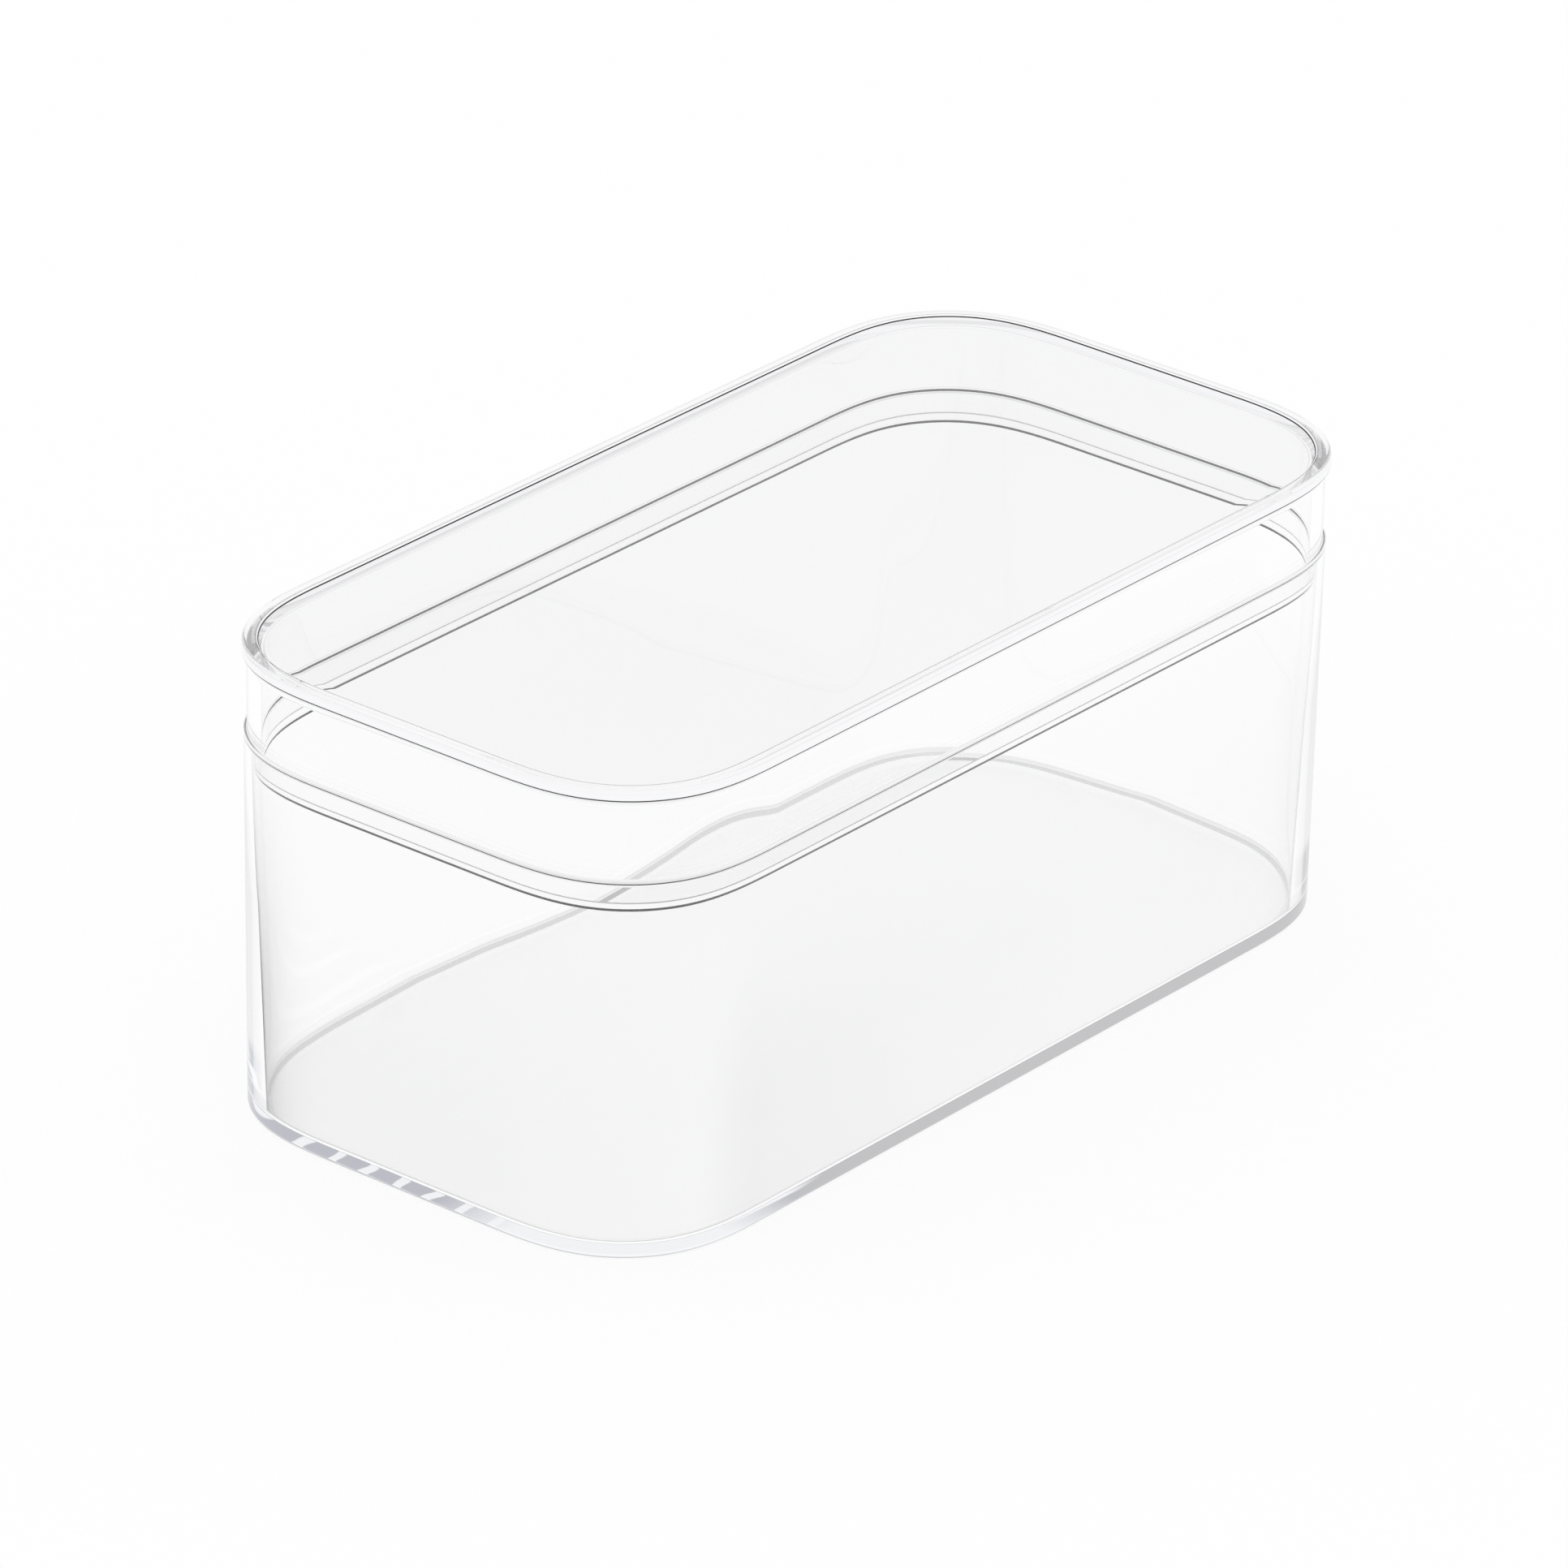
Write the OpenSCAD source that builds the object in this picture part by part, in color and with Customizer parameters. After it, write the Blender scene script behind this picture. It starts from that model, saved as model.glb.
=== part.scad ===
// Clear storage box with a lift-off lid, both with large rounded corners.
// Origin: middle of the box's underside, on the surface that it stands on. +X runs along the box.

/* [Overall] */
// Length over the lid's top bead
length = 200; // [160:1:260]
// Width over the lid's top bead
width = 102; // [90:1:150]
// Height with the lid on
height = 86; // [78:1:120]
// Corner radius in plan, at the lid's top bead
corner_r = 27; // [22:0.5:32]

/* [Box] */
// Height of the box's rim, where the lid rests
rim_z = 68.8; // [50:0.2:70]
// How far the box's wall lies inside the bead, at the rim
box_inset_top = 0.5; // [0.4:0.1:0.8]
// How far the box's wall lies inside the bead, at the foot
box_inset_foot = 1.1; // [0.8:0.1:2]
// Wall thickness at the rim
box_wall_top = 1.4; // [1.2:0.1:1.8]
// Wall thickness above the floor's fillet
box_wall_foot = 2.9; // [2:0.1:4]
// Depth of the upright stretch inside the rim, where the lid's lip goes in
socket_depth = 16; // [10:1:24]
// Thickness of the floor
floor_t = 1.6; // [1.2:0.1:4]
// Radius of the fillet between floor and wall, inside
floor_fillet = 1.3; // [0.6:0.1:4]
// Radius of the rounded edge round the foot
foot_round = 0.8; // [0.4:0.1:1.2]

/* [Lid] */
// How far the lid's skirt lies inside the bead
skirt_inset = 1.0; // [0.8:0.1:1.4]
// Wall thickness of the skirt
skirt_wall = 2.4; // [1.2:0.1:2.8]
// Thickness of the lid's top plate
plate_t = 3.0; // [2:0.1:4]
// Depth of the plate's face below the raised rim
plate_recess = 0.4; // [0.2:0.1:1]
// Width of the raised rim
rim_w = 2.8; // [2:0.1:4]
// Radius of the rim's rounded bead
bead_r = 0.9; // [0.5:0.1:1]
// Height of the bead's outer face, from the top down
bead_height = 1.9; // [1.6:0.1:2.4]
// Radius of the bead's lower edge
bead_edge = 0.45; // [0.1:0.05:0.5]
// How far the bead's underside slopes down to the skirt
bead_slope = 0.4; // [0.2:0.1:1]
// How far the flange at the skirt's foot lies inside the bead
flange_inset = 0.4; // [0.1:0.1:0.7]
// Thickness of that flange
flange_t = 0.8; // [0.6:0.1:2]
// Wall thickness of the plug lip that drops into the box
lip_wall = 1.2; // [1.2:0.1:2]
// Depth of the plug lip below the rim
lip_depth = 5.4; // [3:0.1:8]
// Gap between the plug lip and the box's wall
lip_gap = 0.3; // [0.25:0.05:0.6]
// Radius of the rounded edges of the plug lip
lip_round = 0.4; // [0.2:0.05:0.45]
// Height of the tapered lead-in at the lip's foot
lead_height = 1.7; // [0.8:0.1:2.4]
// How far the lead-in draws the lip's foot inwards
lead_inset = 0.2; // [0.1:0.05:0.25]

/* [Hidden] */
$fn = 96;
clear_plastic = [0.93, 0.94, 0.96, 0.45];
arc_steps = 4;
half_l = length / 2 - corner_r;
half_w = width / 2 - corner_r;
// Sections hold distance from the corner's axis and height
box_r_top = corner_r - box_inset_top;
box_r_foot = corner_r - box_inset_foot;
box_in_top = box_r_top - box_wall_top;
box_in_foot = box_r_foot - box_wall_foot;
skirt_r = corner_r - skirt_inset;
skirt_in = skirt_r - skirt_wall;
flange_r = corner_r - flange_inset;
flange_top = rim_z + flange_t;
lip_r = box_in_top - lip_gap;
lip_in = lip_r - lip_wall;
lip_foot = rim_z - lip_depth;
plate_top = height - plate_recess;
plate_under = plate_top - plate_t;
rim_in = corner_r - rim_w;
bead_foot = height - bead_height;

// Points along an arc, from one angle to another
function arc(cx, cz, r, from, to) =
    [for (i = [0 : arc_steps]) let (a = from + (to - from) * i / arc_steps)
        [cx + r * cos(a), cz + r * sin(a)]];

// The closed solid whose section, out from the corners' axes, is the child
module round_about() {
    for (quarter = [0 : 3])
        translate([
            (quarter == 0 || quarter == 3) ? half_l : -half_l,
            quarter < 2 ? half_w : -half_w, 0])
            rotate([0, 0, 90 * quarter])
                rotate_extrude(angle = 90)
                    children();
    for (side = [-1, 1]) {
        translate([0, side * half_w, 0])
            rotate([90, 0, side * 90])
                translate([0, 0, -half_l])
                    linear_extrude(height = 2 * half_l)
                        children();
        translate([side * half_l, 0, 0])
            rotate([90, 0, side < 0 ? 180 : 0])
                translate([0, 0, -half_w])
                    linear_extrude(height = 2 * half_w)
                        children();
    }
}

// The flat middle that the section leaves open, between two heights
module middle(low, high) {
    translate([-half_l, -half_w, low])
        cube([2 * half_l, 2 * half_w, high - low]);
}

// Floor, then up the outside, over the rim, down the socket and the tapered wall
module box_section() {
    polygon(concat(
        [[0, 0]],
        arc(box_r_foot - foot_round, foot_round, foot_round, -90, 0),
        [[box_r_top, rim_z], [box_in_top, rim_z], [box_in_top, rim_z - socket_depth]],
        arc(box_in_foot - floor_fillet, floor_t + floor_fillet, floor_fillet, 0, -90),
        [[0, floor_t]]));
}

// Plate, raised rim and bead, then down the skirt to the flange and round the plug lip
module lid_section() {
    polygon(concat(
        [[0, plate_top], [rim_in, plate_top], [rim_in, height]],
        arc(corner_r - bead_r, height - bead_r, bead_r, 90, 0),
        arc(corner_r - bead_edge, bead_foot + bead_edge, bead_edge, 0, -90),
        [[skirt_r, bead_foot - bead_slope], [skirt_r, flange_top]],
        [[flange_r, flange_top], [flange_r, rim_z], [lip_r, rim_z], [lip_r, lip_foot + lead_height]],
        arc(lip_r - lead_inset - lip_round, lip_foot + lip_round, lip_round, 0, -90),
        arc(lip_in + lip_round, lip_foot + lip_round, lip_round, -90, -180),
        [[skirt_in, plate_under], [0, plate_under]]));
}

module box() {
    color(clear_plastic) {
        round_about() box_section();
        middle(0, floor_t);
    }
}

module lid() {
    color(clear_plastic) {
        round_about() lid_section();
        middle(plate_under, plate_top);
    }
}

box();
lid();
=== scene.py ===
"""Clear storage box with a lift-off lid: both mouldings, their clear plastic, and a white studio."""

from math import pi, radians, sin, sqrt, tan

import bmesh
import bpy
from mathutils import Matrix, Vector


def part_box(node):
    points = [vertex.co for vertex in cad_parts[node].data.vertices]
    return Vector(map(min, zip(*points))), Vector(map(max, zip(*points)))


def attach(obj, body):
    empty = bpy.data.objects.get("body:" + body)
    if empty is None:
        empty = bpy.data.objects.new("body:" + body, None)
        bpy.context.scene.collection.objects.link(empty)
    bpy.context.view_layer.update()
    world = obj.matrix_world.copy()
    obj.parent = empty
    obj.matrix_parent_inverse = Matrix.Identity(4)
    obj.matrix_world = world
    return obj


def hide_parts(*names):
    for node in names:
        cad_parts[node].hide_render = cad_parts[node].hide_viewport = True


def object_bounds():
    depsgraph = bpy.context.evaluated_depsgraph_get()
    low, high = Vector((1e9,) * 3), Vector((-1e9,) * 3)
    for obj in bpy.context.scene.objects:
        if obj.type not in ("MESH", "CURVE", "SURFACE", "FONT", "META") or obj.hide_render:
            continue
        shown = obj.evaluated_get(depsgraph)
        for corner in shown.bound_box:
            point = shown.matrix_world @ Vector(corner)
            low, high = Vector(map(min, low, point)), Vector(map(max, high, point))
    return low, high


bl_info = {
    "name": "Clear Storage Box",
    "version": (1, 0, 0),
    "blender": (4, 5, 0),
    "location": "View3D > Sidebar > Storage Box",
    "description": "Builds a clear storage box with a lift-off lid and a white studio",
    "category": "Add Mesh",
}

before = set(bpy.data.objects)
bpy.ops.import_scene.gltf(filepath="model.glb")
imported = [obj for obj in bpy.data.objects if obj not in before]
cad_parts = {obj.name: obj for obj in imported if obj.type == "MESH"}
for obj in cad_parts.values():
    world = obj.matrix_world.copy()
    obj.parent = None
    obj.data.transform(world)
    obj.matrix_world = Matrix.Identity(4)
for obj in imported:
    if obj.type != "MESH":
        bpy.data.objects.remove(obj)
FRAME_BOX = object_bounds()
BOX_BODY = "box"
LID_BODY = "lid"
RIM_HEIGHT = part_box("box")[1].z
LID_LOW, LID_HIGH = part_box("lid")
MM = 0.001
UP = Vector((0, 0, 1))

# How dark the painted shade on the edges of a section is
EDGE_MARK = "painted_edge_shade"
PLAIN, SOFT, FAINT, DARK = 0.0, 0.15, 0.5, 1.0

# How finely the meshes follow their curves
CORNER_STEPS = 48
EASE_STEPS = 16
ROUND_STEPS = 6
FLAT_STRIP = 2 * MM
MERGE_DISTANCE = 0.002 * MM

# Ray depth at the near wall's inner face, at the far wall's outer face, and the last one traced in full
NEAR_WALL, FAR_WALL, LAST_TRACED = 1, 3, 5
BOUNCE_LIMIT = 24

# Zones of height: the rim from the top down, the flange from the box's rim up, the underside and the floor
RIM_ZONE = 4 * MM
FLANGE_ZONE = 1.3 * MM
UNDERSIDE_ZONE = 1 * MM
FLOOR_ZONE = 3 * MM

# Upward share of a face's direction, from which it counts as level and as flat
LEVEL_FACE, FLAT_FACE = 0.9, 0.98

# Patterns in the plastic: noise cells in a metre
HAZE_SCALE, WAVE_SCALE, STIR_SCALE = 30.0, 22.0, 90.0
WAVE_DEPTH = 2 * MM

# Where each painted shade, painted light and painted glint in the plastic starts and where it is full,
# across the box (X), along it (Y) or up it
FLOOR_SHADE_ACROSS = (0, -85 * MM)
SHADE_ACROSS = (20 * MM, -80 * MM)
SHADE_UP = (RIM_HEIGHT, 26 * MM)
LINE_UP = (4 * MM, 16 * MM)
GLINTS_ACROSS = (-35 * MM, -45 * MM)
PATCH_ALONG = (5 * MM, -10 * MM)
PATCH_ACROSS = (-45 * MM, -60 * MM)
LONG_FOOT_ACROSS = (-80 * MM, -30 * MM)
FOOT_UP = (6 * MM, 3 * MM)

# Height of the wave at which a painted glint starts and is full
GLINT_EDGE = (0.55, 0.75)

# Surroundings, by the height (Z) and the X of a direction
HORIZON_TOP, SKY_HEIGHT = 0.1, 0.42
WINDOW_SIDE = (0.1, 0.4)
WINDOW_TOP = (0.38, 0.3)

FLOOR_DROP = 0.02 * MM
SENSOR_WIDTH = 36
VIEW_END = 100


def length(name, description, default):
    """A length in metres for a property group; the default is in millimetres."""
    return bpy.props.FloatProperty(
        name=name, description=description, default=default * MM,
        unit="LENGTH", subtype="DISTANCE", precision=5)


def angle(name, description, default):
    """An angle for a property group; the default is in degrees."""
    return bpy.props.FloatProperty(
        name=name, description=description, default=radians(default), unit="ROTATION", subtype="ANGLE")


def number(name, description, default, **limits):
    """A plain number for a property group."""
    return bpy.props.FloatProperty(name=name, description=description, default=default, **limits)


def share(name, description, default):
    """A share from 0 to 1 for a property group."""
    return number(name, description, default, min=0.0, max=1.0)


def colour(name, description, default):
    """A colour for a property group."""
    return bpy.props.FloatVectorProperty(
        name=name, description=description, default=default, size=3, subtype="COLOR", min=0, max=1)


class BoxSizes(bpy.types.PropertyGroup):
    """Sizes of the box's wall and floor."""
    corner: length("Corner radius", "Tightest radius of the corners in plan, at the lid's bead", 24.5)
    rim_inset: length("Rim inset", "How far the wall lies inside the bead at the rim", 0.5)
    foot_inset: length("Foot inset", "How far the wall lies inside the bead at the foot", 1.1)
    rim_wall: length("Wall at the rim", "Thickness of the wall at the rim", 1.4)
    foot_wall: length("Wall at the foot", "Thickness of the wall above the floor's fillet", 2.9)
    socket: length("Socket", "Depth of the upright stretch inside the rim that takes the lid's lip", 16)
    socket_round: length("Socket round", "Long round where the upright stretch meets the tapered one", 600)
    floor: length("Floor", "Thickness of the floor", 1.6)
    floor_fillet: length("Floor fillet", "Round between the floor and the wall, inside", 1.3)
    foot_round: length("Foot round", "Round of the foot's outer edge", 0.8)
    rim_round: length("Rim round", "Round of the rim's two edges", 0.2)


class LidSizes(bpy.types.PropertyGroup):
    """Sizes of the lid's plate, raised rim, skirt, flange and plug lip."""
    plate: length("Plate", "Thickness of the top plate", 3.0)
    plate_fillet: length("Plate fillet", "Round between the plate and the skirt, inside", 1.0)
    recess: length("Recess", "Depth of the plate below the raised rim", 0.4)
    rim_width: length("Rim width", "Width of the raised rim", 2.8)
    rim_round: length("Rim inner round", "Rounds of the raised rim's inner step", 0.2)
    rim_line: length("Rim line", "Width of the fine dark line along the raised rim's inner edge", 0.6)
    bead: length("Bead", "Radius of the rim's rounded bead", 0.9)
    bead_height: length("Bead height", "Height of the bead's outer face, from the top down", 1.9)
    bead_rise: length("Bead rise", "How far the bead's underside slopes down to the skirt", 0.4)
    bead_edge: length("Bead edge", "Round of the bead's lower edge", 0.45)
    bead_fillet: length("Bead fillet", "Round between the bead's underside and the skirt", 0.3)
    skirt_inset: length("Skirt inset", "How far the skirt lies inside the bead", 1.0)
    skirt_wall: length("Skirt wall", "Thickness of the skirt, under the top plate", 2.4)
    flange_inset: length("Flange inset", "How far the flange lies inside the bead", 0.4)
    flange: length("Flange", "Thickness of the flange that rests on the box", 0.8)
    flange_fillet: length("Flange fillets", "Rounds between the flange and the walls beside it", 0.15)
    flange_round: length("Flange round", "Round of the flange's upper edge", 0.3)
    flange_edge: length("Flange edge", "Round of the flange's lower edge", 0.4)
    lip_wall: length("Lip wall", "Thickness of the plug lip", 1.2)
    lip_gap: length("Lip gap", "Gap between the plug lip and the box's wall", 0.3)
    lip_round: length("Lip round", "Round of the plug lip's lower edges", 0.4)
    lead: length("Lead-in", "Height of the tapered lead-in at the plug lip's foot", 1.7)
    lead_inset: length("Lead-in depth", "How far the lead-in draws the lip's foot inwards", 0.2)
    lead_round: length("Lead-in round", "Long round where the lead-in starts", 2.5)
    seat_gap: length("Seat gap", "Hair-wide gap between the flange and the rim", 0.05)


class PlasticLook(bpy.types.PropertyGroup):
    """Colours and finish of the clear plastic."""
    clear: colour("Clear", "Tint of the clear plastic", (1.0, 1.0, 1.0))
    haze: colour("Haze", "Tint of the plastic where it is a little cloudy", (0.985, 0.985, 0.985))
    haze_share: share("Haze share", "How much of the haze shows at most", 0.5)
    # Painted shade: tint that darkens the floor's upper face towards its left end
    painted_floor_shade: colour("Cloud", "Tint of the floor's upper face at its cloudy left end", (0.90, 0.90, 0.90))
    # Painted shade: the dark colour and roughness that marked edges and faces seen edge-on are painted with
    edge: colour("Edge", "Colour of the sharpest moulded edges", (0.012, 0.010, 0.012))
    edge_roughness: share("Edge roughness", "Roughness of the sharpest moulded edges", 0.3)
    # Painted light: colours of the glow in which rays end once they have gone round inside the plastic,
    # with painted pale glints in the foot
    lid_light: colour("Light in the lid", "Light that has gone round in the lid", (0.94, 0.94, 0.955))
    wall_light: colour("Light in the wall", "Light that has gone round in the wall", (0.80, 0.80, 0.81))
    foot_light: colour("Light in the foot", "Light that has gone round in the floor", (0.50, 0.51, 0.57))
    side_light: colour("Light in the long foot", "The same, along the long sides", (0.52, 0.52, 0.53))
    glint_light: colour("Glints", "Pale glints in the foot", (0.93, 0.935, 0.96))
    glint: length("Glint spacing", "Distance from one glint to the next", 7)
    glint_stir: number("Glint stir", "How unevenly the glints are spaced", 3.0, min=0.0)
    shadow_tint: colour("Shadow tint", "Light that each face lets into the shadow", (0.94, 0.94, 0.94))
    index: number("Refractive index", "Refractive index of the plastic", 1.49, min=1.01, max=2.0)
    # Painted shade: dark outlines of faces seen edge-on, a grey and a dark line where the wall's inner face
    # starts to mirror, and how faint painted edges and outlines get where they are hidden
    outer_outline: share("Outer outline", "Darkness of an outer face seen edge-on", 0.12)
    inner_outline: share("Inner outline", "Darkness of the box's inner face seen edge-on", 0.9)
    lid_outline: share("Lid outline", "Darkness of the lid's inner face seen edge-on", 0.3)
    inner_reach: share("Inner reach", "How much sooner an inner face darkens than an outer one", 0.1)
    outline_from: share("Outline start", "How far a face turns away before it darkens", 0.8)
    outline_full: share("Outline end", "How far a face turns away where it is darkest", 0.93)
    mirror_fade: share("Mirror fade", "How much weaker an outline is that a mirroring face shows", 0.7)
    shade: share("Inner shade", "Grey beside the line where the wall mirrors", 0.4)
    shade_from: share("Inner shade start", "How far a wall turns away before that grey starts", 0.12)
    shade_right: share("Inner shade, right", "Share of that grey and line at the right end", 0.25)
    line: share("Inner line", "Darkness of the line where the wall mirrors", 0.42)
    line_foot: share("Inner line, foot", "Share of that line at the foot", 0.2)
    line_start: share("Inner line start", "How soon before the mirroring that line starts", 0.009)
    line_full: share("Inner line end", "How soon before the mirroring that line is full", 0.001)
    faintest: share("Faintest", "What still shows of a dark edge or outline that is hidden", 0.05)
    satin: share("Satin floor", "Roughness of the floor's upper face", 0.25)
    wave: share("Surface wave", "Strength of the moulded surface's faint waves", 0.02)


class StudioSetup(bpy.types.PropertyGroup):
    """Camera and surroundings."""
    azimuth: angle("Azimuth", "Turn of the camera round the box", -51.016)
    elevation: angle("Elevation", "Height of the camera above the horizon", 25.841)
    roll: angle("Roll", "Turn of the camera about its own line of sight", 1.209)
    distance: length("Distance", "Distance from the camera to its target", 2004.5)
    target: bpy.props.FloatVectorProperty(
        name="Target", description="Point that the camera looks at", size=3,
        default=(-0.62 * MM, 1.15 * MM, 40 * MM), unit="LENGTH", subtype="XYZ")
    lens: number("Lens", "Focal length on a 36 mm sensor, in millimetres", 270.1, min=1.0)
    floor_width: length("Floor", "Width of the white floor", 60000)
    floor_colour: colour("Floor colour", "Colour of the floor where light falls on it", (0.98, 0.98, 0.98))
    floor_glow: number("Floor glow", "White that the floor shows to the camera and plastic", 1.0, min=0.0)
    shadow: share("Shadow", "Share of the floor's white that a shadow can take away", 0.12)
    horizon: colour("Horizon", "Surroundings near the horizon", (0.40, 0.40, 0.41))
    sky: colour("Sky", "Surroundings above the horizon", (0.75, 0.75, 0.76))
    ceiling: colour("Ceiling", "Surroundings overhead", (0.88, 0.88, 0.88))
    window: colour("Window", "Brighter surroundings low down on the right", (0.95, 0.95, 0.95))


class Socket:
    """Output of a shader node, so that a sum of node values reads as an expression."""

    def __init__(self, graph, output):
        self.graph = graph
        self.output = output

    def maths(self, operation, *values):
        """A Math node of the operation on this value and the others."""
        return self.graph.maths(operation, self, *values)

    def __add__(self, other):
        return self.maths("ADD", other)

    __radd__ = __add__

    def __sub__(self, other):
        return self.maths("SUBTRACT", other)

    def __rsub__(self, other):
        return self.graph.maths("SUBTRACT", other, self)

    def __mul__(self, other):
        return self.maths("MULTIPLY", other)

    __rmul__ = __mul__

    def above(self, level):
        """1 where this value is above the level, else 0."""
        return self.maths("GREATER_THAN", level)

    def equals(self, whole):
        """1 where this value is the whole number, else 0."""
        return self.maths("COMPARE", whole, 0.5)

    def most(self, other):
        """The larger of this value and the other."""
        return self.maths("MAXIMUM", other)


class Graph:
    """Adds nodes to one emptied shader tree."""

    def __init__(self, owner, output):
        owner.use_nodes = True
        self.tree = owner.node_tree
        self.tree.nodes.clear()
        self.end = self.tree.nodes.new(output)

    def node(self, kind, settings=None, sockets=None, output=0):
        """One node of a kind, with its settings, socket values or links, as the output asked for."""
        made = self.tree.nodes.new("ShaderNode" + kind)
        for name, value in (settings or {}).items():
            if name == "stops":
                set_stops(made.color_ramp, value)
            else:
                setattr(made, name, value)
        for name, value in (sockets or {}).items():
            if isinstance(value, Socket):
                self.tree.links.new(value.output, made.inputs[name])
            else:
                made.inputs[name].default_value = value
        return Socket(self, made.outputs[output])

    def maths(self, operation, *values):
        """A Math node of the operation on the values."""
        return self.node("Math", {"operation": operation}, dict(enumerate(values)))

    def blend(self, factor, first, second):
        """Colour between the first and the second."""
        colours = {"Factor": factor, 6: first, 7: second}
        return self.node("Mix", {"data_type": "RGBA"}, colours, output=2)

    def axis(self, vector, letter):
        """X, Y or Z of a vector."""
        return self.node("SeparateXYZ", {}, {"Vector": vector}, output=letter)

    def ramp(self, value, start, full, low=0.0, **settings):
        """Low where the value is at the start, 1 where it is at the full, and level past both."""
        ends = {"From Min": start, "From Max": full, "To Min": low}
        return self.node("MapRange", settings, {"Value": value, **ends})

    def mix(self, factor, first, second):
        """Shader between the first and the second."""
        return self.node("MixShader", {}, {0: factor, 1: first, 2: second})

    def finish(self, shader):
        """Connects the shader to the tree's output."""
        self.tree.links.new(shader.output, self.end.inputs["Surface"])


class Plastic(Graph):
    """Shader tree of one moulding's material, with where a ray meets the plastic and how it got there."""

    def __init__(self, name):
        self.material = bpy.data.materials.new(name)
        super().__init__(self.material, "ShaderNodeOutputMaterial")
        self.place = self.node("TexCoord", output="Object")
        self.across, self.along, self.height = (self.axis(self.place, letter) for letter in "XYZ")
        self.upright = self.axis(self.node("NewGeometry", output="Normal"), "Z")
        self.within = self.node("NewGeometry", output="Backfacing")
        self.grazing = self.node("LayerWeight", {}, {"Blend": 0.5}, output="Facing")
        self.depth = self.node("LightPath", output="Ray Depth")
        self.passed = self.node("LightPath", output="Transmission Depth")
        self.rim = self.height.above(LID_HIGH.z - RIM_ZONE)
        self.flange = self.height.above(RIM_HEIGHT) - self.height.above(RIM_HEIGHT + FLANGE_ZONE)

    def noise(self, scale, detail):
        """Soft noise through the piece."""
        cells = {"Vector": self.place, "Scale": scale, "Detail": detail}
        return self.node("TexNoise", {}, cells, output="Fac")


def set_stops(ramp, stops):
    """Gives a colour ramp its stops, each a position and a colour."""
    while len(ramp.elements) > 1:
        ramp.elements.remove(ramp.elements[-1])
    for index, (position, shade) in enumerate(stops):
        stop = ramp.elements[0] if index == 0 else ramp.elements.new(position)
        stop.position = position
        stop.color = opaque(shade)


def opaque(shade):
    """The colour with an alpha of 1."""
    return (*shade, 1)


def clear_plastic(plastic, look, inner_light, inner_outline):
    """Clear moulded plastic with painted shade on its fine edges; light that goes round inside ends as a
    painted glow of the inner light.
    """
    glow = plastic.node("BsdfPrincipled", {}, {
        "Base Color": opaque((0, 0, 0)), "Specular IOR Level": 0.0,
        "Emission Color": inner_light, "Emission Strength": 1.0})
    # Painted light: past the last traced bounce, the plastic glows in the inner light's colour
    body = plastic.mix(plastic.depth.above(LAST_TRACED), clear_body(plastic, look), glow)
    # Painted shade: the dark surface that marked edges and faces seen edge-on turn into
    edge = plastic.node("BsdfPrincipled", {}, {
        "Base Color": opaque(look.edge), "Roughness": look.edge_roughness})
    painted_darkness = painted_edge_darkness(plastic, look).most(painted_face_darkness(plastic, look, inner_outline))
    shadow = plastic.node("LightPath", output="Is Shadow Ray")
    shadow_tint = plastic.node("BsdfTransparent", {}, {"Color": opaque(look.shadow_tint)})
    plastic.finish(plastic.mix(shadow, plastic.mix(painted_darkness, body, edge), shadow_tint))
    return plastic.material


def clear_body(plastic, look):
    """Refracting plastic with faint haze and waves; the floor's top is satin, and tinted darker to the left
    with painted shade.
    """
    floor = 1 - plastic.height.above(FLOOR_ZONE)
    # Painted shade, not cloudiness: the floor's upper face darkens towards its left end
    cloudy = plastic.ramp(plastic.across, *FLOOR_SHADE_ACROSS) * floor * plastic.height.above(UNDERSIDE_ZONE)
    haze = plastic.noise(HAZE_SCALE, detail=2) * look.haze_share
    tint = plastic.blend(haze, opaque(look.clear), opaque(look.haze))
    satin = plastic.upright.above(FLAT_FACE) * floor * (1 - plastic.within) * look.satin
    waves = plastic.node("Bump", {}, {
        "Height": plastic.noise(WAVE_SCALE, detail=1), "Strength": look.wave, "Distance": WAVE_DEPTH})
    return plastic.node("BsdfPrincipled", {}, {
        "Base Color": plastic.blend(cloudy, tint, opaque(look.painted_floor_shade)), "Roughness": satin,
        "Normal": waves, "IOR": look.index, "Transmission Weight": 1.0})


def painted_edge_darkness(plastic, look):
    """Painted shade on the marked edges; from within, it shows in full only straight through the far wall.
    """
    mark = plastic.node("Attribute", {"attribute_name": EDGE_MARK}, output="Fac")
    straight = plastic.depth.equals(FAR_WALL) * plastic.passed.equals(FAR_WALL)
    hidden = plastic.within * (1 - straight * (1 - plastic.rim))
    return mark * (1 - hidden * (1 - look.faintest))


def painted_face_darkness(plastic, look, inner_outline):
    """Painted shade of a face seen edge-on; none on level faces, and little in the rim and the flange."""
    turned = plastic.ramp(
        plastic.grazing + plastic.within * look.inner_reach,
        look.outline_from, look.outline_full, interpolation_type="SMOOTHSTEP")
    strength = look.outer_outline + plastic.within * (inner_outline - look.outer_outline)
    mirrored = plastic.within * (plastic.depth - plastic.passed).above(0)
    trim = plastic.rim + plastic.flange
    outline = turned * strength * (1 - mirrored * look.mirror_fade) * (1 - trim * (1 - look.faintest))
    level = plastic.upright.maths("ABSOLUTE").above(LEVEL_FACE)
    return (outline + painted_inner_shade(plastic, look)) * (1 - level)


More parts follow.
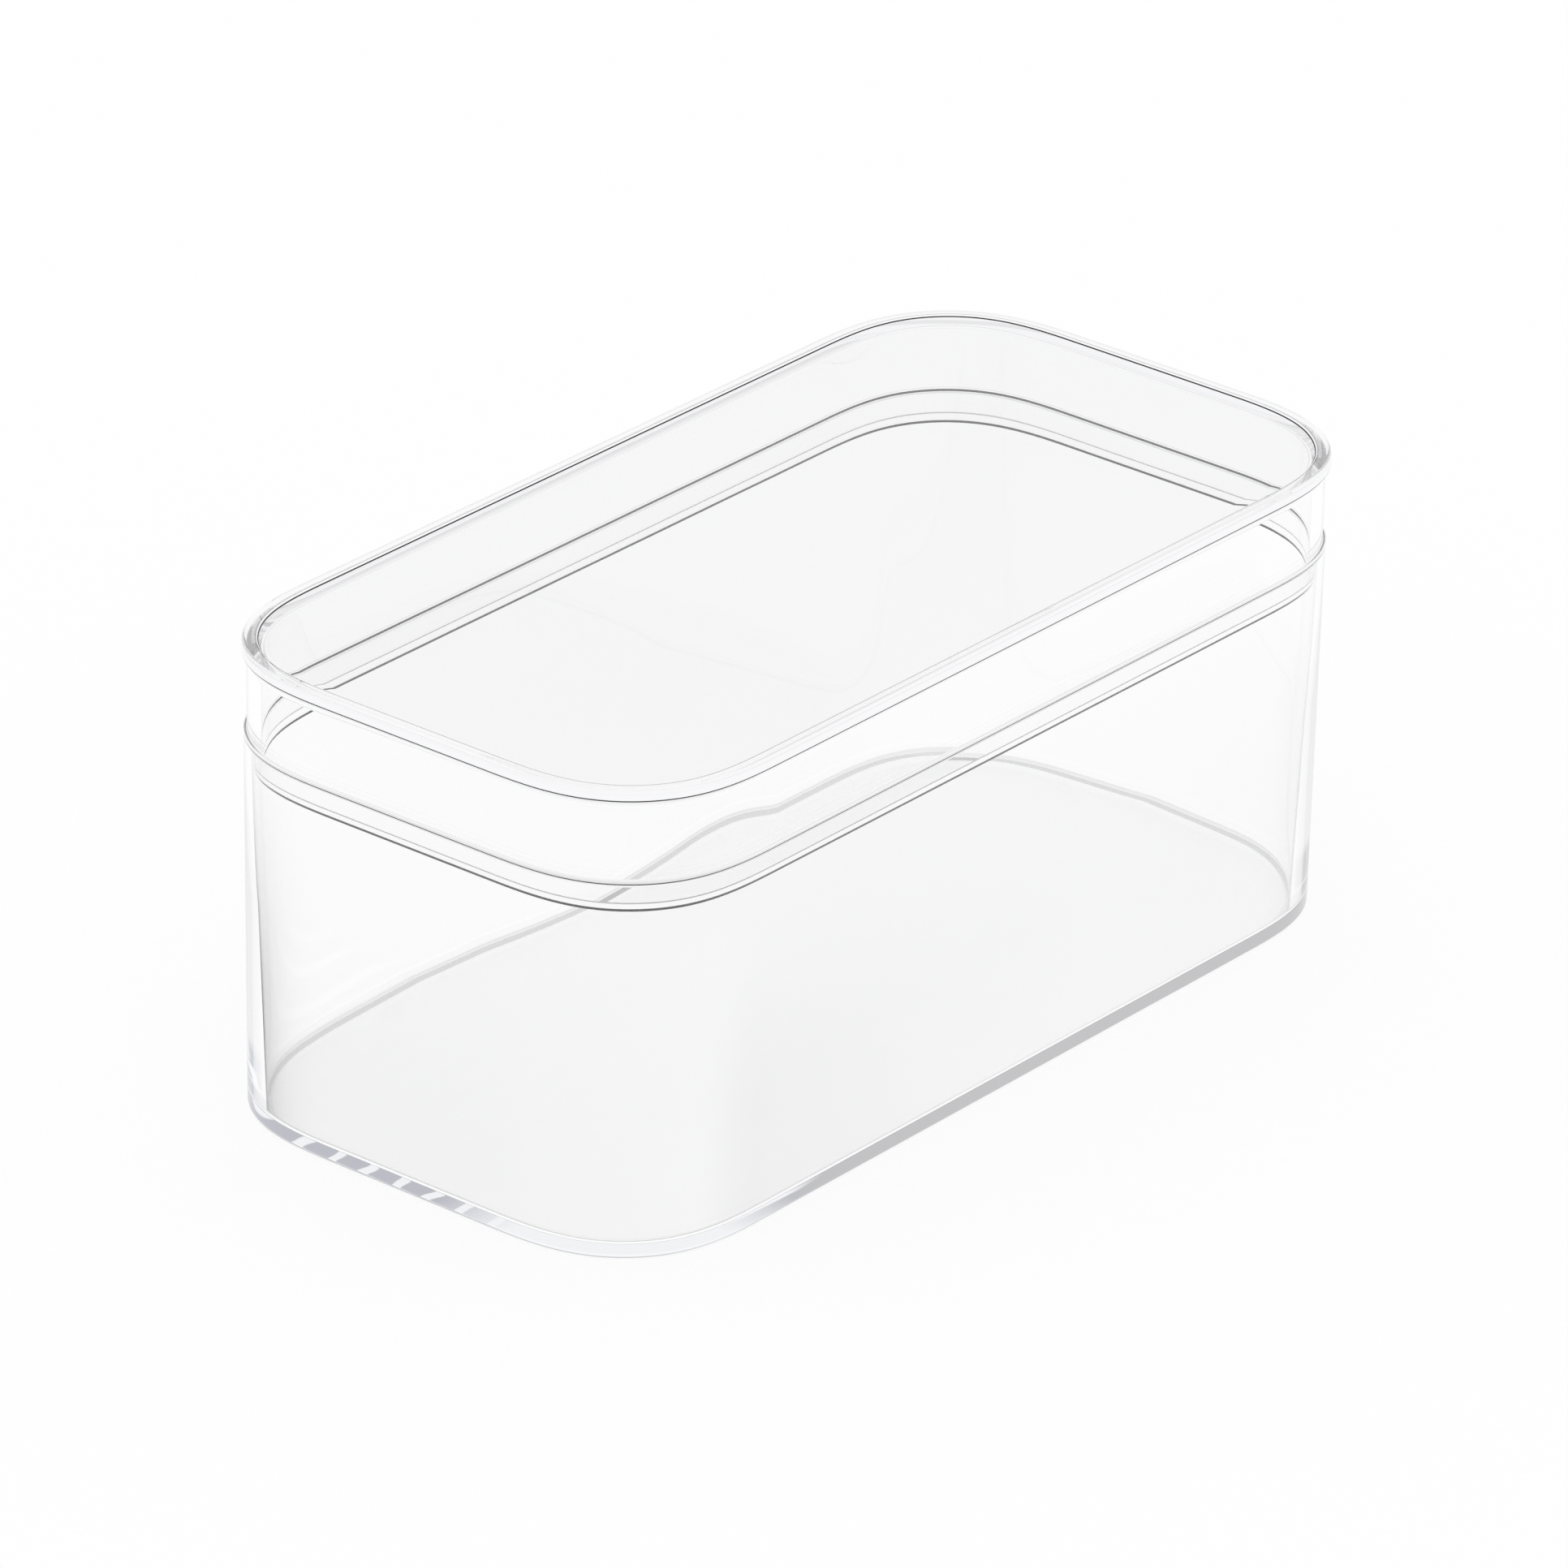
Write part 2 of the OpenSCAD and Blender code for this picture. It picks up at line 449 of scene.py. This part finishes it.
def painted_inner_shade(plastic, look):
    """Painted grey and a painted dark line where the near wall's inner face starts to mirror, deepest by
    the left corner.
    """
    mirror = 1 - sqrt(1 - 1 / look.index ** 2)
    soft = plastic.ramp(plastic.grazing, look.shade_from, mirror)
    line = plastic.ramp(
        plastic.grazing, mirror - look.line_start, mirror - look.line_full, interpolation_type="SMOOTHSTEP")
    line = line * plastic.ramp(plastic.height, *LINE_UP, low=look.line_foot)
    through = plastic.within * plastic.depth.equals(NEAR_WALL) * (1 - plastic.grazing.above(mirror))
    across = plastic.ramp(plastic.across, *SHADE_ACROSS, low=look.shade_right)
    up = plastic.ramp(plastic.height, *SHADE_UP)
    return (soft * soft * look.shade + line * look.line) * through * across * up


def light_in_box(plastic, look):
    """Painted light for that glow: pale in the wall; greyer in the floor, with painted pale glints and a
    painted pale patch at the foot of the left end.
    """
    stir = plastic.noise(STIR_SCALE, detail=1) * look.glint_stir
    wave = (plastic.along * (2 * pi / look.glint) + stir).maths("SINE")
    glints = plastic.ramp(wave, *GLINT_EDGE) * plastic.ramp(plastic.across, *GLINTS_ACROSS)
    painted_pale_patch = plastic.ramp(plastic.along, *PATCH_ALONG) * plastic.ramp(plastic.across, *PATCH_ACROSS)
    long_side = plastic.ramp(plastic.across, *LONG_FOOT_ACROSS)
    foot_light = plastic.blend(long_side, opaque(look.foot_light), opaque(look.side_light))
    foot_light = plastic.blend(glints.most(painted_pale_patch), foot_light, opaque(look.glint_light))
    return plastic.blend(plastic.ramp(plastic.height, *FOOT_UP), opaque(look.wall_light), foot_light)


def corner_bends(radius):
    """Radius and turn of each short step round a corner, which tightens and eases off evenly."""
    ease = [min(1, (step + 0.5) / EASE_STEPS, (CORNER_STEPS - step - 0.5) / EASE_STEPS)
            for step in range(CORNER_STEPS)]
    full_turn = pi / 2 / sum(ease)
    return [(radius / tightness, full_turn * tightness) for tightness in ease]


def corner_start(bends):
    """Where the corner towards +X and +Y starts, on the bead's outline."""
    depth = 0
    heading = 0
    for radius, turn in bends:
        depth += radius * (sin(heading + turn) - sin(heading))
        heading += turn
    return Vector((FRAME_BOX[1][0], FRAME_BOX[1][1] - depth, 0))


def new_section(corners, start):
    """Mesh with one upright section of a wall, its corners rounded.

    Each corner is an inset from the bead's outline, a height, a round and how dark its painted edge shade
    is."""
    bm = bmesh.new()
    mark = bm.verts.layers.float.new(EDGE_MARK)
    points = [bm.verts.new((start.x - inset, start.y, height)) for inset, height, _, _ in corners]
    for pair in zip(points, points[1:]):
        bm.edges.new(pair)
    inner = list(zip(points, corners))[1:-1]
    for point, (_, _, radius, dark) in inner:
        if not radius:
            point[mark] = dark
            continue
        before, after = (edge.other_vert(point).co - point.co for edge in point.link_edges)
        offset = radius / tan(before.angle(after) / 2)
        made = bmesh.ops.bevel(
            bm, geom=[point], offset=offset, offset_type="OFFSET", affect="VERTICES",
            segments=ROUND_STEPS, profile=0.5, material=-1, clamp_overlap=True)
        arc = set(made["verts"])
        for vert in arc:
            if all(edge.other_vert(vert) in arc for edge in vert.link_edges):
                vert[mark] = dark
    return bm


def sweep_round(bm, start, bends):
    """Takes the section round a corner and along both half sides, then mirrors that quarter twice."""
    section = bm.edges[:]
    reach = start.copy()
    outward = Vector((1, 0, 0))
    front = bm.verts[:] + section
    for radius, turn in bends:
        hub = reach - radius * outward
        front = bmesh.ops.spin(bm, geom=front, cent=hub, axis=UP, angle=turn, steps=1)["geom_last"]
        outward.rotate(Matrix.Rotation(turn, 3, UP))
        reach = hub + radius * outward
    far = [item for item in front if isinstance(item, bmesh.types.BMEdge)]
    for edges, run in ((section, Vector((0, -start.y, 0))), (far, Vector((-reach.x, 0, 0)))):
        pulled = bmesh.ops.extrude_edge_only(bm, edges=edges)["geom"]
        verts = [item for item in pulled if isinstance(item, bmesh.types.BMVert)]
        bmesh.ops.translate(bm, verts=verts, vec=run)
    for axis in ("X", "Y"):
        quarter = bm.verts[:] + bm.edges[:] + bm.faces[:]
        bmesh.ops.mirror(bm, geom=quarter, axis=axis, merge_dist=MERGE_DISTANCE)
    bmesh.ops.remove_doubles(bm, verts=bm.verts[:], dist=MERGE_DISTANCE)
    bmesh.ops.holes_fill(bm, edges=[edge for edge in bm.edges if edge.is_boundary], sides=0)
    bmesh.ops.recalc_face_normals(bm, faces=bm.faces[:])


def new_object(name, bm, material):
    """An object of the bmesh, in the scene, with its material."""
    mesh = bpy.data.meshes.new(name)
    bm.to_mesh(mesh)
    bm.free()
    mesh.materials.append(material)
    made = bpy.data.objects.new(name, mesh)
    bpy.context.scene.collection.objects.link(made)
    return made


def new_piece(name, corners, radius, material):
    """A closed moulding: the section swept round the box and filled across its middle."""
    bends = corner_bends(radius)
    start = corner_start(bends)
    bm = new_section(corners, start)
    sweep_round(bm, start, bends)
    for face in bm.faces:
        face.smooth = True
    piece = new_object(name, bm, material)
    piece.modifiers.new("Even shading", "WEIGHTED_NORMAL")
    return piece


def box_corners(box):
    """Section of the box, from under the floor, up the wall, over the rim and down to the floor."""
    rim_inside = box.rim_inset + box.rim_wall
    foot_inside = box.foot_inset + box.foot_wall
    return [
        (box.foot_inset + FLAT_STRIP, 0, 0, PLAIN),
        (box.foot_inset, 0, box.foot_round, PLAIN),
        (box.rim_inset, RIM_HEIGHT, box.rim_round, PLAIN),
        (rim_inside, RIM_HEIGHT, box.rim_round, PLAIN),
        (rim_inside, RIM_HEIGHT - box.socket, box.socket_round, PLAIN),
        (foot_inside, box.floor, box.floor_fillet, SOFT),
        (foot_inside + box.floor_fillet + FLAT_STRIP, box.floor, 0, PLAIN),
    ]


def lid_corners(lid, box):
    """Section of the lid, from the plate's face, over the bead, down the skirt and up inside the lip."""
    top = LID_HIGH.z
    foot = LID_LOW.z
    plate_top = top - lid.recess
    plate_under = plate_top - lid.plate
    bead_foot = top - lid.bead_height
    skirt_inside = lid.skirt_inset + lid.skirt_wall
    seat = RIM_HEIGHT + lid.seat_gap
    flange_top = seat + lid.flange
    lip = box.rim_inset + box.rim_wall + lid.lip_gap
    return [
        (lid.rim_width + FLAT_STRIP, plate_top, 0, PLAIN),
        (lid.rim_width, plate_top, lid.rim_round, DARK),
        (lid.rim_width, top, lid.rim_round, PLAIN),
        (lid.rim_width - lid.rim_line / 2, top, 0, FAINT),
        (lid.rim_width - lid.rim_line, top, 0, PLAIN),
        (0, top, lid.bead, PLAIN),
        (0, bead_foot, lid.bead_edge, DARK),
        (lid.skirt_inset, bead_foot - lid.bead_rise, lid.bead_fillet, PLAIN),
        (lid.skirt_inset, flange_top, lid.flange_fillet, PLAIN),
        (lid.flange_inset, flange_top, lid.flange_round, PLAIN),
        (lid.flange_inset, seat, lid.flange_edge, DARK),
        (lip, seat, lid.flange_fillet, PLAIN),
        (lip, foot + lid.lead, lid.lead_round, FAINT),
        (lip + lid.lead_inset, foot, lid.lip_round, DARK),
        (lip + lid.lip_wall, foot, lid.lip_round, DARK),
        (skirt_inside, plate_under, lid.plate_fillet, PLAIN),
        (skirt_inside + lid.plate_fillet + FLAT_STRIP, plate_under, 0, PLAIN),
    ]


class STORAGE_OT_box(bpy.types.Operator):
    """Make the clear box: one moulding with tapered walls and a thick foot"""
    bl_idname = "storage.box"
    bl_label = "Clear Box"

    def execute(self, context):
        box = context.scene.box_sizes
        look = context.scene.plastic_look
        plastic = Plastic("Clear plastic, box")
        material = clear_plastic(plastic, look, light_in_box(plastic, look), look.inner_outline)
        piece = new_piece("box_shell", box_corners(box), box.corner, material)
        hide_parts("box")
        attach(piece, BOX_BODY)
        return {"FINISHED"}


class STORAGE_OT_lid(bpy.types.Operator):
    """Make the clear lid: raised rim, skirt, seating flange and plug lip"""
    bl_idname = "storage.lid"
    bl_label = "Clear Lid"

    def execute(self, context):
        box = context.scene.box_sizes
        lid = context.scene.lid_sizes
        look = context.scene.plastic_look
        plastic = Plastic("Clear plastic, lid")
        material = clear_plastic(plastic, look, opaque(look.lid_light), look.lid_outline)
        piece = new_piece("lid_shell", lid_corners(lid, box), box.corner, material)
        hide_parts("lid")
        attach(piece, LID_BODY)
        return {"FINISHED"}


def white_floor(studio):
    """The white floor, which glows a little and keeps the object's shadow."""
    bm = bmesh.new()
    bmesh.ops.create_grid(bm, x_segments=1, y_segments=1, size=studio.floor_width / 2)
    bmesh.ops.translate(bm, verts=bm.verts[:], vec=(0, 0, -FLOOR_DROP))
    material = bpy.data.materials.new("White floor")
    graph = Graph(material, "ShaderNodeOutputMaterial")
    camera, glossy, through = (
        graph.node("LightPath", output=f"Is {ray} Ray") for ray in ("Camera", "Glossy", "Transmission"))
    lit = graph.node("BsdfDiffuse", {}, {"Color": opaque(studio.floor_colour)})
    white = graph.node("Emission", {}, {"Color": opaque((1, 1, 1)), "Strength": studio.floor_glow})
    graph.finish(graph.mix(camera * (1 - studio.shadow) + glossy + through, lit, white))
    new_object("floor", bm, material)


def studio_world(studio):
    """White; only the plastic finds it grey near the horizon, bright overhead and brighter on the right."""
    world = bpy.data.worlds.new("White studio")
    bpy.context.scene.world = world
    graph = Graph(world, "ShaderNodeOutputWorld")
    way = graph.node("TexCoord", output="Generated")
    height = graph.axis(way, "Z")
    shade = graph.node("ValToRGB", {"stops": [
        (0.0, studio.horizon), (HORIZON_TOP, studio.horizon), (SKY_HEIGHT, studio.sky),
        (1.0, studio.ceiling)]}, {"Fac": height})
    window = graph.ramp(graph.axis(way, "X"), *WINDOW_SIDE) * graph.ramp(height, *WINDOW_TOP)
    around = graph.node("Background", {}, {"Color": graph.blend(window, shade, opaque(studio.window))})
    white = graph.node("Background", {}, {"Color": opaque((1, 1, 1))})
    glossy, through = (
        graph.node("LightPath", output=f"Is {ray} Ray") for ray in ("Glossy", "Transmission"))
    graph.finish(graph.mix(glossy.most(through), white, around))


def studio_camera(studio):
    """Camera that looks at the target from its azimuth, elevation and distance."""
    data = bpy.data.cameras.new("camera")
    data.sensor_width = SENSOR_WIDTH
    data.lens = studio.lens
    data.clip_end = VIEW_END
    camera = bpy.data.objects.new("camera", data)
    bpy.context.scene.collection.objects.link(camera)
    turn = Matrix.Rotation(studio.azimuth, 4, "Z") @ Matrix.Rotation(pi / 2 - studio.elevation, 4, "X")
    turn = turn @ Matrix.Rotation(studio.roll, 4, "Z")
    place = Vector(studio.target) + turn.to_3x3() @ Vector((0, 0, studio.distance))
    camera.matrix_world = Matrix.Translation(place) @ turn
    bpy.context.scene.camera = camera


class STORAGE_OT_studio(bpy.types.Operator):
    """Set up the white floor, the surroundings and the camera"""
    bl_idname = "storage.studio"
    bl_label = "White Studio"

    def execute(self, context):
        scene = context.scene
        white_floor(scene.studio_setup)
        studio_world(scene.studio_setup)
        studio_camera(scene.studio_setup)
        scene.view_settings.view_transform = "Standard"
        for kind in ("max", "transmission", "glossy"):
            setattr(scene.cycles, f"{kind}_bounces", BOUNCE_LIMIT)
        return {"FINISHED"}


class STORAGE_PT_panel(bpy.types.Panel):
    """Lists the sizes and the steps that build the box"""
    bl_label = "Storage Box"
    bl_space_type = "VIEW_3D"
    bl_region_type = "UI"
    bl_category = "Storage Box"

    def draw(self, context):
        for group, step in (("studio_setup", "storage.studio"), ("box_sizes", "storage.box"),
                            ("lid_sizes", "storage.lid"), ("plastic_look", None)):
            part = self.layout.box()
            settings = getattr(context.scene, group)
            for name in settings.__annotations__:
                part.prop(settings, name)
            if step:
                part.operator(step)


GROUPS = {
    "box_sizes": BoxSizes,
    "lid_sizes": LidSizes,
    "plastic_look": PlasticLook,
    "studio_setup": StudioSetup,
}
CLASSES = (*GROUPS.values(), STORAGE_OT_studio, STORAGE_OT_box, STORAGE_OT_lid, STORAGE_PT_panel)


def register():
    """Registers the classes and gives the scene their settings."""
    for cls in CLASSES:
        bpy.utils.register_class(cls)
    for name, group in GROUPS.items():
        setattr(bpy.types.Scene, name, bpy.props.PointerProperty(type=group))


def unregister():
    """Takes the settings and the classes away again."""
    for name in GROUPS:
        delattr(bpy.types.Scene, name)
    for cls in reversed(CLASSES):
        bpy.utils.unregister_class(cls)


def main():
    """Builds the studio and both pieces."""
    register()
    bpy.ops.storage.studio()
    bpy.ops.storage.box()
    bpy.ops.storage.lid()


if __name__ == "__main__":
    main()
